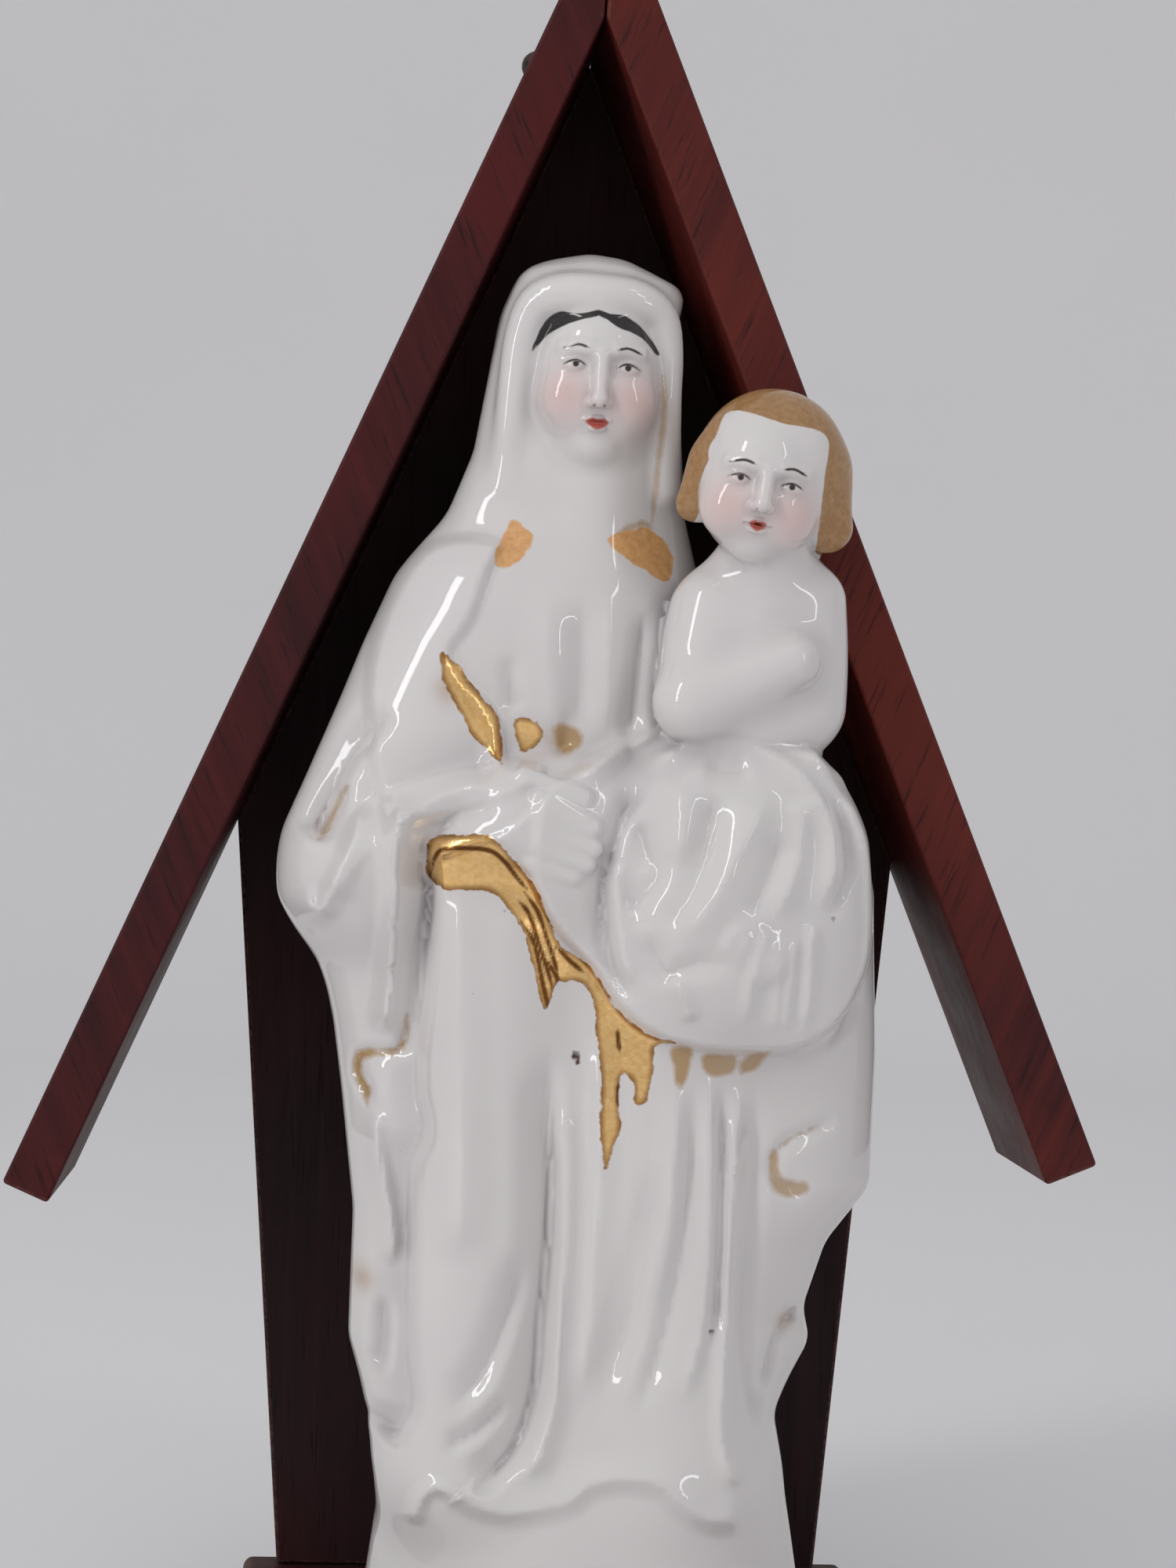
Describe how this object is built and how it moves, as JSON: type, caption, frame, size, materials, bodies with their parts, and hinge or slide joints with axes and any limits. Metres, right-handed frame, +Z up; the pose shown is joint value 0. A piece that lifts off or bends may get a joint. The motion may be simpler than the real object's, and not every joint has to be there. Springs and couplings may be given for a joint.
{
  "type": "porcelain statuette with niche",
  "caption": "Glazed porcelain figure of a veiled mother with a child, standing on a shelf under a gabled wooden niche with a tapered back board.",
  "frame": {"origin": "on the shelf's flat underside, halfway between its ends and 38 mm in front of the wall side", "axes": "+Z up, +X to the viewer's right as the figure faces the viewer, +Y back towards the wall"},
  "size_m": [0.1962, 0.0735, 0.3239],
  "materials": {
    "glazed_porcelain": "clear glossy glaze over white porcelain, painted in black, brown and rose and gilded",
    "panel_wood": "dark stain, satin",
    "roof_wood": "red-brown stain, satin",
    "iron": "blackened"
  },
  "bodies": {
    "root": {"statuette": "glazed_porcelain", "back_panel": "panel_wood", "roof_board_left": "roof_wood", "roof_board_right": "roof_wood", "base_shelf": "panel_wood", "hanging_pin": "iron"}
  },
  "joints": []
}
